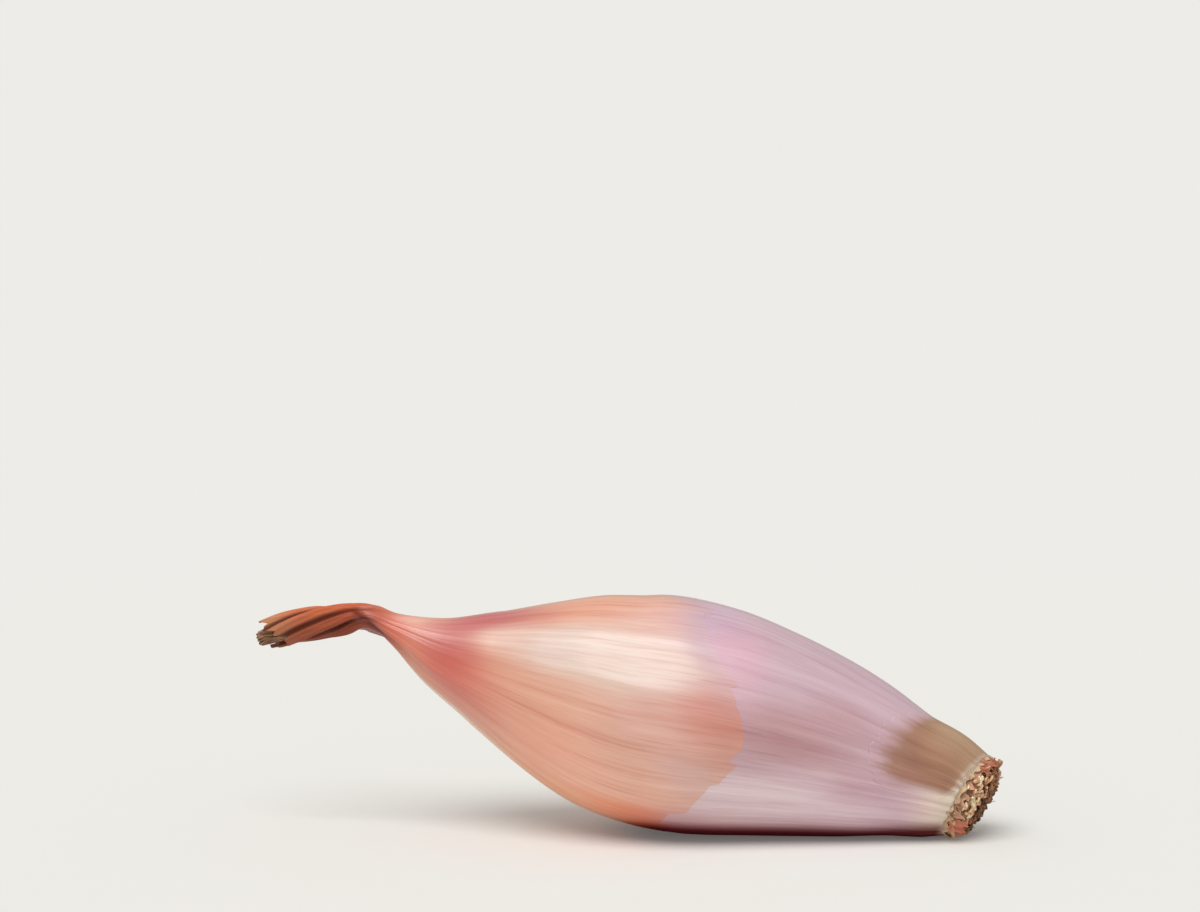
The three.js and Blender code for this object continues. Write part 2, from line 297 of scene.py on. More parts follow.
def add_loft(pile, rings, tint, grain):
    """A closed solid through rings of points (rows, columns, 3), with a fan on each end."""
    rows, n = rings.shape[:2]
    last = (rows - 1) * n
    faces = grid_faces(rows, n, True)
    faces += [(rows * n, (j + 1) % n, j) for j in range(n)]
    faces += [(rows * n + 1, last + j, last + (j + 1) % n) for j in range(n)]
    pile.add(with_ends(rings), faces, with_ends(tint), with_ends(grain))


def add_sheet(pile, outside, inside, wrap, tint, grain, step=1):
    """A closed thin sheet between two grids. The inside may keep only every step-th row."""
    rows, n = outside.shape[:2]
    keep = np.unique(np.append(np.arange(0, rows, step), rows - 1))
    back = rows * n
    faces = grid_faces(rows, n, wrap) + [f[::-1] for f in grid_faces(len(keep), n, wrap, back)]
    last, back_last = (rows - 1) * n, back + (len(keep) - 1) * n
    for j in range(n if wrap else n - 1):
        k = (j + 1) % n
        faces += [(back + j, back + k, k, j), (last + j, last + k, back_last + k, back_last + j)]
    if not wrap:
        for i in range(rows - 1):
            a, b = i * n, (i + 1) * n
            end_a, end_b = a + n - 1, b + n - 1
            faces += [(back + b, back + a, a, b), (end_a, back + end_a, back + end_b, end_b)]

    def two_sides(front, behind):
        width = front.shape[-1]
        return np.vstack([front.reshape(-1, width), behind[keep].reshape(-1, width)])

    pile.add(two_sides(outside, inside), faces, two_sides(tint, tint), two_sides(grain, grain))


def tube_rings(path, radii, sides, unevenness, rng):
    """Rings round a path. Each ring is turned with the path, and its corners are uneven."""
    tangent = unit(np.gradient(path, axis=0))
    guide = np.array([0.0, 0.0, 1.0]) if abs(tangent[0, 2]) < 0.8 else np.array([0.0, 1.0, 0.0])
    turn = TURN * np.arange(sides)[:, None] / sides
    rings = []
    for point, along, radius in zip(path, tangent, radii):
        one = unit(np.cross(guide, along))
        two = np.cross(along, one)
        guide = two
        reach = radius * (1 + rng.uniform(-unevenness, unevenness, sides))[:, None]
        rings.append(point + (np.cos(turn) * one + np.sin(turn) * two) * reach)
    return np.array(rings)


def grain_of(angle, along):
    """Seamless coordinates for the fibres: a unit circle round the bulb, and the length along it."""
    return np.stack(np.broadcast_arrays(np.cos(angle), np.sin(angle), along * GRAIN_SCALE), -1)


# ---------------------------------------------------------------- materials
class Nodes:
    def __init__(self, name):
        self.material = bpy.data.materials.new(name)
        self.material.use_nodes = True
        self.tree = self.material.node_tree
        self.tree.nodes.clear()

    def add(self, kind, props=None, **inputs):
        node = self.tree.nodes.new(kind)
        for key, value in (props or {}).items():
            setattr(node, key, value)
        for key, value in inputs.items():
            socket = node.inputs[int(key[1:])] if key[0] == "_" else node.inputs[key.replace("_", " ")]
            if isinstance(value, bpy.types.NodeSocket):
                self.tree.links.new(value, socket)
            else:
                socket.default_value = value
        return node

    def attribute(self, name):
        return self.add("ShaderNodeAttribute", {"attribute_name": name})

    def noise(self, vector, scale, detail, rough=0.55):
        scaled = self.add("ShaderNodeMapping", Vector=vector, Scale=scale).outputs[0]
        made = self.add("ShaderNodeTexNoise", Vector=scaled, Scale=1.0, Detail=detail, Roughness=rough)
        return made.outputs["Fac"]

    def ramp(self, value, low, high, to_low=0.0, to_high=1.0):
        made = self.add("ShaderNodeMapRange", {"interpolation_type": "SMOOTHSTEP"}, Value=value)
        for key, number in (("From Min", low), ("From Max", high), ("To Min", to_low), ("To Max", to_high)):
            made.inputs[key].default_value = number
        return made.outputs[0]

    def multiply(self, share, colour, by):
        """The colour multiplied by another one, to a share."""
        kind = {"data_type": "RGBA", "blend_type": "MULTIPLY"}
        return self.add("ShaderNodeMix", kind, _0=share, _6=colour, _7=(*by, 1.0)).outputs[2]

    def math(self, operation, a, b=0.0):
        return self.add("ShaderNodeMath", {"operation": operation}, _0=a, _1=b).outputs[0]

    def finish(self, colour, roughness, height, bump_mm, **constants):
        bump = self.add("ShaderNodeBump", Strength=1.0, Distance=bump_mm * MM, Height=height)
        shader = self.add("ShaderNodeBsdfPrincipled", Base_Color=colour, Roughness=roughness,
                          Normal=bump.outputs[0], **constants)
        self.add("ShaderNodeOutputMaterial", Surface=shader.outputs[0])
        return self.material


def rgba(*srgb):
    return (*linear(*srgb), 1.0)


# Scales of the noise in the skins: two across the grain and one along it. Those of the root are per metre.
BROAD, BANDS, FIBRES, THREADS = (2.0, 2.0, 4.5), (8.5, 8.5, 2.6), (28.0, 28.0, 4.0), (68.0, 68.0, 8.0)
SPECKS = (60.0, 60.0, 60.0)
LUMPS, PITS = (900.0, 900.0, 900.0), (3200.0, 3200.0, 3200.0)


def streaked_material(name, dark, pale, streak, roughness, bump_mm, spots=0.0, coat=0.0, **constants):
    """Plant skin: fibres run from pole to pole and darken or lighten the tint that the mesh carries."""
    n = Nodes(name)
    grain = n.attribute("grain").outputs["Vector"]
    carried = n.attribute("tint")
    # The tint's fourth value takes the gloss away where the skin is dull.
    if coat:
        constants["Coat_Weight"] = n.math("MULTIPLY", carried.outputs["Alpha"], coat)
        constants["Specular_IOR_Level"] = n.math("MULTIPLY", carried.outputs["Alpha"], 0.5)
    broad = n.noise(grain, BROAD, 3.0)
    bands = n.noise(grain, BANDS, 3.0, 0.6)
    fibres = n.noise(grain, FIBRES, 4.0, 0.65)
    threads = n.noise(grain, THREADS, 2.0, 0.6)
    # Each layer: its noise, where it starts and is full, its strength, and what it multiplies the tint by.
    layers = [
        (broad, 0.45, 0.68, 0.5 * streak, dark),
        (bands, 0.5, 0.7, 0.9 * streak, dark),
        (bands, 0.5, 0.3, 0.9 * streak, pale),
        (fibres, 0.54, 0.7, streak, dark),
        (fibres, 0.46, 0.3, streak, pale),
        (threads, 0.55, 0.7, 0.8 * streak, dark),
    ]
    if spots:
        layers.append((n.noise(grain, SPECKS, 3.0, 0.6), 0.58, 0.72, spots, dark))
    colour = carried.outputs["Color"]
    for made, low, high, strength, shade in layers:
        colour = n.multiply(n.ramp(made, low, high, 0.0, strength), colour, shade)
    height = n.math("ADD", n.math("MULTIPLY", fibres, 0.7), n.math("MULTIPLY", threads, 0.3))
    rough = n.ramp(bands, 0.3, 0.7, roughness - 0.05, roughness + 0.07)
    return n.finish(colour, rough, height, bump_mm, **constants)


def root_material():
    """Corky plate and dead roots: brown, pitted, dull."""
    n = Nodes("corky_root")
    position = n.add("ShaderNodeTexCoord").outputs["Object"]
    tint = n.attribute("tint").outputs["Color"]
    lumps = n.noise(position, LUMPS, 4.0, 0.6)
    pits = n.noise(position, PITS, 3.0, 0.65)
    colour = n.multiply(n.ramp(lumps, 0.5, 0.7, 0.0, 0.6), tint, (0.5, 0.42, 0.36))
    colour = n.multiply(n.ramp(lumps, 0.46, 0.3, 0.0, 0.6), colour, (1.25, 1.3, 1.35))
    colour = n.multiply(n.ramp(pits, 0.55, 0.7, 0.0, 0.6), colour, (0.5, 0.4, 0.34))
    height = n.math("ADD", n.math("MULTIPLY", lumps, 0.6), n.math("MULTIPLY", pits, 0.4))
    rough = n.ramp(pits, 0.3, 0.7, 0.75, 0.92)
    return n.finish(colour, rough, height, 0.3)


# ---------------------------------------------------------------- the fleshy bulb
LILAC = (202, 171, 181)
# Painted light: the orange stands for bounce light low on the copper, the rose for shade low on the lilac,
# and the underside colour for the shadow by the ground.
LOW_SHADE_ROSE, BOUNCE_ORANGE, UNDERSIDE_SHADE = (178, 92, 102), (216, 90, 38), (92, 10, 18)
BULB_SPOTS = [
    # x, degrees, spread mm, spread degrees, strength, colour
    (57, 90, 4.5, 400, 3.0, (210, 194, 166)),
    (54, 125, 5, 36, 6.0, (240, 222, 200)),
    (15, 52, 4, 25, 2.0, (220, 176, 188)),
    (10, 22, 6, 18, 1.5, (206, 176, 196)),
    (22, 30, 10, 30, 1.2, (196, 168, 178)),
    (24, 82, 8, 15, 4.2, (184, 136, 136)),
    (32, 60, 4.5, 12, 2.2, (188, 146, 150)),
    (28, 102, 6, 8, 3.0, (228, 202, 208)),
    (14, 38, 4, 12, 2.0, (212, 158, 176)),
    (37, 100, 4, 14, 2.0, (196, 150, 160)),
    (20, 128, 14, 20, 3.5, (238, 216, 218)),
    (36, 125, 11, 20, 3.0, (234, 206, 216)),
    (46, 120, 6, 22, 1.5, (206, 162, 180)),
    (42, 70, 3, 25, 1.4, (198, 154, 162)),
    (30, 300, 16, 60, 1.0, (200, 160, 176)),
    (40, 0, 12, 30, 1.0, (200, 172, 184)),
]


def lilac(x, angle):
    return paint(x, angle, LILAC, BULB_SPOTS)


def swell(angle, along):
    """The slow rise and fall of the bulb, which the skin over it follows."""
    return 0.16 * ripples(3, angle, along, (2, 6), (30, 90))


def relief(angle, along):
    """The swell, and the small flutes where the scale grips the root plate."""
    gather = np.exp(-np.maximum(along - length_at(rim_station(angle)), 0) / 3.2)
    flutes = 0.5 + 0.5 * ripples(8, angle, along, (18, 44), (30, 90), 16)
    return swell(angle, along) - 0.28 * gather * flutes


def paint_shade_near_floor(tint, x, points, gloss=1.0):
    """Painted light and shade near the floor: low on its sides the bulb is painted red for bounce light and
    shade, and the side that lies on the ground is painted dark as shade and made dull.
    """
    z = points[..., 2]
    along = smooth(-6, 6, x) * (1 - smooth(53, 56.5, x))
    # low is painted bounce light and shade near the floor; dark is a painted shadow along the ground.
    low = 0.65 * along * (1 - smooth(2.6, 9, z + 0.11 * (x - 10)))
    dark = 0.95 * along * (1 - smooth(1.9, 4.9, z + 0.03 * (x - 10) - smooth(40, 52, x)))
    # The painted red is orange bounce light under the copper skin and rose shade under the lilac.
    bare = smooth(3, 10, x)[..., None]
    painted_low_red = (1 - bare) * linear(*BOUNCE_ORANGE) + bare * linear(*LOW_SHADE_ROSE)
    tint = lay_over(lay_over(tint, low, painted_low_red), dark, linear(*UNDERSIDE_SHADE))
    return with_gloss(tint, gloss * (1 - smooth(0, 0.5, dark)))


TIP_ROUNDING = 1.1  # stations over which the hidden tip rounds off


def make_bulb(material):
    rows, columns = 300, 300
    angle = TURN * np.arange(columns) / columns
    start = rim_station(angle)
    s = start + (TIP - 0.02 - start) * (np.linspace(0, 1, rows) ** 0.9)[:, None]
    s, angle = np.broadcast_arrays(s, angle)
    x, along = x_at(s), length_at(s)
    past_edge = x - torn_edge(angle)
    # The ribs die out towards the torn edge of the skin, so that it lies flat.
    ribs = 0.035 * smooth(0.3, 3.5, past_edge) * ripples(5, angle, along, (26, 60), (60, 200), 24)
    covered = 1 - smooth(-5.0, -0.3, past_edge)
    out = relief(angle, along) + ribs - 0.3 * covered
    near_tip = np.clip((s - TIP + TIP_ROUNDING) / TIP_ROUNDING, 0, 1)
    shrink = np.sqrt(1 - near_tip * near_tip)[..., None]
    centre = catmull(MIDDLE_LINE, s) + SHIFT
    points = centre + (surface(s, angle, out) - centre) * shrink
    tint = paint_shade_near_floor(lilac(x, angle), x, points)
    pile = Pile()
    add_loft(pile, points, tint, grain_of(angle, along))
    return pile.make("lilac_bulb", material)


# ---------------------------------------------------------------- the copper skin and its neck
SPLITS = 34  # how many times the torn edge steps along a fibre


def torn_edge(angle):
    """x of the torn edge at each angle: it runs slantwise and steps where the skin split along fibres."""
    rng = np.random.default_rng(19)
    splits = np.sort(rng.uniform(0, TURN, SPLITS))
    step, slant = rng.normal(0, 0.55, SPLITS), rng.normal(0, 3.0, SPLITS)
    part = (np.searchsorted(splits, angle % TURN) - 1) % SPLITS
    ragged = step[part] + slant[part] * ((angle - splits[part]) % TURN)
    fine = 0.12 * ripples(22, angle, 0, (24, 80), ROUND_ONLY, 24)
    return around(TORN_EDGE, angle) + np.clip(ragged, -1.6, 1.6) + fine


# COPPER is the skin's own colour; the valley and crease colours are painted shade in the folds.
COPPER, VALLEY_SHADE, CREASE_SHADE = (224, 170, 146), (72, 22, 12), (110, 26, 14)
COPPER_SPOTS = [
    # x, degrees, spread mm, spread degrees, strength, colour
    # The dry neck, from its end to the fold, paler on top and darker underneath: painted light and shade.
    (-64, 30, 4, 70, 7.0, (196, 138, 98)),
    (-64, 160, 4, 70, 7.0, (134, 80, 52)),
    (-55, 15, 6, 50, 9.0, (202, 98, 54)),
    (-55, 110, 7, 60, 9.0, (152, 66, 34)),
    (-55, 200, 8, 60, 8.0, (120, 50, 28)),
    (-48, 20, 4, 50, 10.0, (196, 84, 48)),
    (-48, 130, 4.5, 60, 10.0, (136, 52, 32)),
    (-46.5, 190, 4, 60, 10.0, (150, 62, 36)),
    # The tip, red in front, with a cream patch above that is a painted highlight.
    (-42.5, 80, 2.4, 70, 6.0, (216, 94, 68)),
    (-41.0, 28, 1.8, 16, 9.0, (240, 186, 168)),
    (-38, 100, 3, 26, 3.0, (214, 118, 94)),
    (-37.5, 45, 3, 20, 2.0, (230, 158, 148)),
    (-34, 66, 4, 20, 4.5, (190, 84, 86)),
    (-33, 34, 4, 12, 3.5, (200, 104, 108)),
    (-32, 92, 4, 20, 5.0, (204, 84, 74)),
    (-27.5, 20, 6, 16, 6.0, (186, 78, 88)),
    (-20.5, 26, 4, 10, 2.5, (212, 132, 118)),
    (-29, 112, 6, 24, 3.5, (220, 112, 96)),
    # A painted highlight: the pale band that follows the upper front.
    (-24, 45, 4, 11, 3.5, (232, 198, 184)),
    (-15, 52, 6, 13, 5.0, (220, 200, 190)),
    (-4, 54, 7, 14, 5.0, (212, 194, 180)),
    (6, 54, 6, 14, 4.0, (212, 186, 176)),
    (-3, 30, 5, 12, 2.0, (232, 194, 180)),
    # The belly, more orange towards the floor: that orange is painted bounce light from the floor.
    (-20, 105, 8, 24, 1.5, (222, 152, 128)),
    (-13, 125, 8, 18, 3.0, (250, 168, 142)),
    (-5, 130, 7, 16, 3.0, (250, 192, 168)),
    (-8, 152, 10, 14, 5.0, (252, 174, 126)),
    (1, 140, 6, 7, 6.0, (246, 122, 54)),
    (9, 108, 4, 10, 1.5, (214, 176, 176)),
    (10, 72, 4, 12, 2.0, (216, 140, 130)),
    (-1, 25, 8, 14, 1.0, (232, 180, 184)),
    (4, 60, 9, 40, 1.0, (224, 178, 176)),
    (5, 126, 6, 16, 3.0, (246, 188, 166)),
    (15, 78, 4.5, 15, 4.5, (208, 136, 120)),
    # Above and behind.
    (-14, 12, 9, 20, 2.0, (234, 160, 126)),
    (-6, 8, 9, 16, 1.6, (234, 168, 140)),
    (-20, 300, 12, 60, 1.2, (210, 136, 112)),
    (2, 270, 14, 60, 1.2, (220, 158, 132)),
]


def neck_folds(x, angle):
    """How far the folds that wind round the dry neck stand out, from about -1 in the valleys to 1."""
    twist = angle + 0.09 * (x + 47)
    wide = 1 - 1.6 * np.abs(np.sin(2.5 * twist))
    narrow = 1 - 1.6 * np.abs(np.sin(5.5 * twist + 1.3))
    return 0.62 * wide + 0.3 * narrow


def fold_under_tip(x, angle):
    """The flap where the skin folds over itself under the tip, and the crease that runs down before it."""
    degrees = np.degrees(angle)
    flap = np.exp(-(((degrees - 190) / 34) ** 2))
    flap = flap * smooth(-42.0, -45.5, x) * (1 - smooth(-47.5, -54, x))
    crease_at = 60 + 90 * (x + 48.8) / 5.8
    crease = np.exp(-(((degrees - crease_at) / 24) ** 2))
    crease = crease * smooth(-49.6, -48.0, x) * (1 - smooth(-43.5, -41.5, x))
    return flap, crease


def make_skin(material):
    rows, columns = 300, 256
    angle = TURN * np.arange(columns) / columns
    start, end = station_at(torn_edge(angle)), station_at(around(NECK_END, angle))
    end = end + 0.16 * ripples(31, angle, 0, (3, 14), ROUND_ONLY, 10)
    s = start + (end - start) * (np.linspace(0, 1, rows) ** 1.12)[:, None]
    s, angle = np.broadcast_arrays(s, angle)
    x, along = x_at(s), length_at(s)
    from_edge = along - length_at(start)
    # Longitudinal pleats grow towards the neck, and the dry neck is folded and twisted.
    drawn_in, neck = smooth(-20, -42, x), smooth(-43, -50, x)
    pleats = 0.16 * drawn_in * ripples(41, angle, along, (5, 13), (60, 200), 12)
    ribs = 0.02 * smooth(0, 4, from_edge) * ripples(42, angle, along, (24, 56), (60, 200), 22)
    folds = neck_folds(x, angle)
    flap, crease = fold_under_tip(x, angle)
    # The torn edge thins out and clings to the bulb, and it curls up a little in places.
    thick = 0.02 + 0.12 * smooth(0, 6, from_edge)
    at_edge = np.exp(-from_edge / 0.8)
    curl = 0.015 * at_edge * np.maximum(ripples(44, angle, 0, (3, 9), ROUND_ONLY, 8), 0)
    out = 0.01 + thick + swell(angle, along) * (1 - drawn_in) + curl
    out = out + ribs * (1 - neck) + pleats * (1 - 0.6 * neck) + 0.8 * neck * (folds - 0.5)
    out = out + 1.2 * flap - 0.3 * crease
    outside = surface(s, angle, out)
    inside = surface(s, angle, out - thick - 0.12 * at_edge)
    # One layer is thin enough at its edge to let the lilac through, except where it is doubled in front.
    degrees = np.degrees(angle)
    doubled = np.exp(-(((degrees - 84) / 24) ** 2))
    below = smooth(60, 120, degrees) * (1 - smooth(200, 260, degrees))
    through = 0.85 * np.exp(-((from_edge / 5.0) ** 2)) * (1 - 0.9 * doubled) * (1 - 0.8 * below)
    tint = lay_over(paint(x, angle, COPPER, COPPER_SPOTS), through, lilac(x, angle))
    # The valleys between the neck's folds and the crease before the tip are painted dark, as shade.
    tint = lay_over(tint, 0.85 * neck * smooth(0.1, -0.5, folds), linear(*VALLEY_SHADE))
    tint = lay_over(tint, 0.85 * crease, linear(*CREASE_SHADE))
    tint = paint_shade_near_floor(tint, x, outside, 1 - 0.8 * neck)
    pile = Pile()
    add_sheet(pile, outside, inside, True, tint, grain_of(angle, along), step=4)
    skin = pile.make("copper_outer_skin", material)
    # A sharp torn edge keeps its shading off the skin beside it.
    skin.data.set_sharp_from_angle(angle=math.radians(65))
    return skin


# How far each leaf is in front of the middle, where it starts and ends in x, its half height and colour.
NECK_LEAVES = [
    (0.5, -56, -66.5, 1.5, (150, 112, 84)),
    (-0.15, -56, -67, 1.8, (192, 150, 156)),
    (-0.8, -56, -65.6, 1.3, (120, 84, 60)),
]
DRY_LEAF = (176, 128, 96)


def make_neck_leaf(index, material, offset, from_x, to_x, half_height, end_colour):
    """One dry leaf in the mouth of the neck: thin, crumpled, ragged at its end."""
    rows, columns = 60, 28
    f = np.linspace(0, 1, rows)[:, None]
    v = np.linspace(-1, 1, columns)[None, :]
    ragged = 0.9 * ripples(60 + index, 2.2 * v, 0, (1, 9), ROUND_ONLY, 8)
    s = station_at(from_x + (to_x + ragged - from_x) * f)
    centre, _, front, up = frame_at(s)
    height = half_height * (1 - 0.35 * f * f)
    crumple = 0.22 * ripples(70 + index, 3.0 * v, 22 * f, (1, 6), (4, 14), 10) + 0.3 * (1 - v * v)
    middle = centre + up * (v * height)[..., None] + front * (offset + crumple)[..., None] + SHIFT
    side = front * 0.06
    tint = paint(x_at(s), np.zeros(s.shape), DRY_LEAF, [(to_x, 0, 4, 400, 2.0, end_colour)])
    grain = np.stack(np.broadcast_arrays(0.4 * v, 0.3 * index, length_at(s) * GRAIN_SCALE), -1)
    pile = Pile()
    add_sheet(pile, middle + side, middle - side, False, tint, grain)
    return pile.make(f"dry_neck_leaf_{index + 1}", material)


# ---------------------------------------------------------------- scraps by the roots
BROWN, THIN_SCRAP = (156, 112, 88), (190, 142, 112)
REMNANT_SPOTS = [
    # x, degrees, spread mm, spread degrees, strength, colour
    (42, 90, 2.5, 400, 0.6, (176, 138, 122)),
    (55, 90, 1.6, 400, 0.8, (184, 152, 122)),
    (51, 12, 4, 30, 1.4, (186, 158, 124)),
    (47, 48, 2.5, 12, 0.8, (180, 132, 110)),
    (45, 85, 3, 14, 1.2, (170, 118, 106)),
]
# Middle angle, half width, how far each end lies from the rim in stations, how far it flares, and colour.
RIM_SCRAPS = [
    (0.5, 0.26, -0.42, 0.0, 0.6, (176, 100, 70)),
    (2.3, 0.30, -0.6, -0.08, 0.35, (206, 116, 88)),
    (-1.2, 0.32, -0.2, 0.25, 0.5, (176, 104, 80)),
]


def remnant_tint(x, angle, f, body, streaks):
    """Brown that fades into the lilac towards the edges, in streaks."""
    body = body * smooth(-0.05, 0.12, f)
    dry = 1.25 * body + streaks * (1 - body) * smooth(0, 0.15, 1 - f)
    return lay_over(lilac(x, angle), np.clip(dry, 0, 1), paint(x, angle, BROWN, REMNANT_SPOTS))


def torn_tint(shade):
    """The colouring of a torn bit of skin of one shade, paler where it is thin."""
    def tinted(x, angle, f, body, streaks):
        dry = np.clip(0.55 + 0.45 * body + streaks, 0, 1)
        return lay_over(linear(*THIN_SCRAP), dry, linear(*shade))
    return tinted


def make_scrap(
    name, material, first, last, root_edge, neck_edge, seed, tinted, size,
    flare=0.0, side_fade=0.36, fringe=0.0, wrinkle=0.02,
):
    """A thin bit of skin between two angles, on the bulb. One that flares stands off it by the roots."""
    rows, columns = size
    angle = np.linspace(first, last, columns)[None, :]
    from_side = np.minimum(angle - first, last - angle) / side_fade
    low = root_edge(angle) + fringe * ripples(seed + 7, angle, 0, (12, 90), ROUND_ONLY, 20)
    high = neck_edge(angle) + 0.05 * ripples(seed, angle, 0, (5, 60), ROUND_ONLY, 20)
    # Its two edges close in on each other towards its sides.
    middle = (low + high) / 2
    close = 0.45 * np.clip(1 - from_side, 0, 1) ** 2
    low, high = low + (middle - low) * close, high + (middle - high) * close
    f = np.linspace(0, 1, rows)[:, None]
    s, angle = np.broadcast_arrays(low + (high - low) * f, angle)
    x, along = x_at(np.maximum(s, 0)), length_at(s)
    body = smooth(0, 0.3, 1 - f) * smooth(0, 1, from_side)
    wrinkles = wrinkle * body * ripples(seed + 2, angle, along, (24, 60), (20, 60), 16)
    out = 0.015 + 0.05 * body + flare * (1 - f) ** 2 + relief(angle, along) + wrinkles
    outside, inside = surface(s, angle, out), surface(s, angle, out - 0.06)
    streaks = 0.22 * ripples(seed + 3, angle, along, (20, 60), (40, 90), 18)
    pile = Pile()
    tint = tinted(x, angle, f, body, streaks)
    add_sheet(pile, outside, inside, False, tint, grain_of(angle, along))
    return pile.make(name, material)


def remnant_root_edge(angle):
    return rim_station(angle) + 0.02 + 0.08 * smooth(0.5, 1.2, angle)


def remnant_neck_edge(angle):
    return station_at(around(REMNANT_EDGE, angle))


# ---------------------------------------------------------------- the root end
def at_base(radius, angle, height):
    """A point of the root end, at a radius and angle on the plate and a height out from the bulb."""
    radius, angle, height = np.broadcast_arrays(radius, angle, height)
    across = FACE_FRONT * np.sin(angle)[..., None] + FACE_UP * np.cos(angle)[..., None]
    point = FACE_CENTRE + across * radius[..., None] + FACE * height[..., None]
    point[..., 2] = np.maximum(point[..., 2], FLOOR_CLEARANCE)
    return point


def rim_share(angle):
    """How far the bulb's rim is from the middle of the slanting face, compared with its shortest."""
    return np.linalg.norm(surface(rim_station(angle), angle) - FACE_CENTRE, axis=-1) / RIM_RADIUS


PLATE_COLOUR = (184, 146, 112)
# Radius and height of each ring of the disc.
PLATE_RINGS = [
    (6.3, -0.9), (6.8, -0.2), (6.9, 0.1), (6.8, 0.5), (6.3, 0.8), (5.4, 0.95), (3.6, 1.0), (1.4, 1.0),
]
# Radius, height and colour of each ring of stumps.
STUMP_RINGS = [(7.2, 1.0, (216, 186, 152)), (6.7, 1.5, (214, 164, 132)), (6.0, 1.5, (180, 130, 98))]


def make_plate(material):
    """The basal disc with the ragged stumps of old scale bases standing round its rim."""
    pile = Pile()
    n = 160
    angle = TURN * np.arange(n) / n
    rings = []
    for k, (radius, height) in enumerate(PLATE_RINGS):
        rough = 1 + 0.02 * ripples(80 + k, angle, 0, (5, 30), ROUND_ONLY, 16)
        bumpy = 0.1 * ripples(90 + k, angle, 0, (4, 26), ROUND_ONLY)
        rings.append(at_base(radius * rough * rim_share(angle), angle, height + bumpy))
    rings = np.array(rings)
    add_loft(pile, rings, np.ones(rings.shape) * linear(*PLATE_COLOUR), np.zeros(3))
    rows = 9
    f = np.linspace(0, 1, rows)[:, None]
    # The stumps stand tallest on the near side.
    near = 0.5 + 0.5 * np.cos(angle - math.radians(100))
    for k, (radius, tall, shade) in enumerate(STUMP_RINGS):
        top = tall * (0.62 + 0.38 * ripples(100 + k, angle, 0, (6, 34), ROUND_ONLY, 20))
        top = (np.maximum(top, 0.2) * (0.75 + 0.55 * near))[None, :]
        wave = 0.14 * ripples(110 + k, angle, 0, (7, 22), ROUND_ONLY, 12)
        lean = (0.1 - 0.12 * k) * f * top
        radial = radius * rim_share(angle) + wave + lean
        radial = radial + 0.12 * f * ripples(120 + k, angle, 0, (12, 40), ROUND_ONLY, 12)
        height = -0.3 + 0.4 * k + f * (top + 0.2)
        thick = 0.14 * (1 - 0.5 * f)
        colour = (0.6 + 0.4 * f)[..., None] * linear(*shade) * np.ones((rows, n, 1))
        outside = at_base(radial + thick, angle[None, :], height)
        inside = at_base(radial - thick, angle[None, :], height)
        add_sheet(pile, outside, inside, True, colour, np.zeros(colour.shape))
    return pile.make("basal_plate", material)


def on_face(flat, height):
    """Points over the plate from flat (front, up) coordinates and heights."""
    return FACE_CENTRE + flat[..., :1] * FACE_FRONT + flat[..., 1:] * FACE_UP + height[..., None] * FACE


def add_root(pile, rng, start, heading, foot, length, rise, thick, tint, sides=8):
    """One dried root: it rises from its foot, bends over and ends in a blunt, shrivelled tip."""
    steps = max(9, int(length / 0.18))
    f = np.linspace(0, 1, steps)
    turn = heading + rng.uniform(-1.4, 1.4) * f + 0.25 * np.sin(7 * f + rng.uniform(0, TURN))
    step = length / (steps - 1)
    flat = np.cumsum(np.stack([np.cos(turn), np.sin(turn)], -1) * step, axis=0) * rng.uniform(0.55, 0.95)
    height = foot + rise * np.sin(f * rng.uniform(1.3, 2.6))
    path = on_face(start + flat - flat[0], height)
    radii = thick * (1 - 0.4 * f ** 2) * (1 + 0.16 * np.sin(8 * f + rng.uniform(0, TURN)))
    path[:, 2] = np.maximum(path[:, 2], radii * 1.2 + FLOOR_CLEARANCE)
    rings = tube_rings(path, radii, sides, 0.1, rng)
    # Each root is darker at its foot, painted shade where it goes into the mat, and lighter towards its
    # tip.
    shade = (np.ones((steps, sides, 3)) * tint) * (0.75 + 0.35 * f)[:, None, None]
    add_loft(pile, rings, shade, np.zeros(3))


# Painted light and shade on the root mat: near stubs are pushed towards a pale colour, far ones are
# darkened, and the bed is dark as shade between the stubs.
PAINTED_LIGHT_ROOT = linear(236, 200, 166)
FAR_SHADE = np.array([1.04, 0.84, 0.68])  # what the far side of the mat is multiplied by
ROOT_TINTS = [linear(*colour) for colour in (
    (220, 178, 142), (210, 164, 130), (192, 144, 112), (160, 114, 86),
    (124, 82, 60), (222, 188, 156), (212, 146, 114),
)]
BED_SHADE, BED_LIT = linear(70, 40, 24), linear(158, 114, 84)
MAT_RADIUS = 6.2
STUBS, FINE_ROOTS, SINGLE_ROOTS = 190, 14, 12


def mat_height(share):
    """Height of the root mat over the plate at a share of its radius."""
    return 0.4 + 2.5 * np.sqrt(np.maximum(1 - share ** 2, 0))


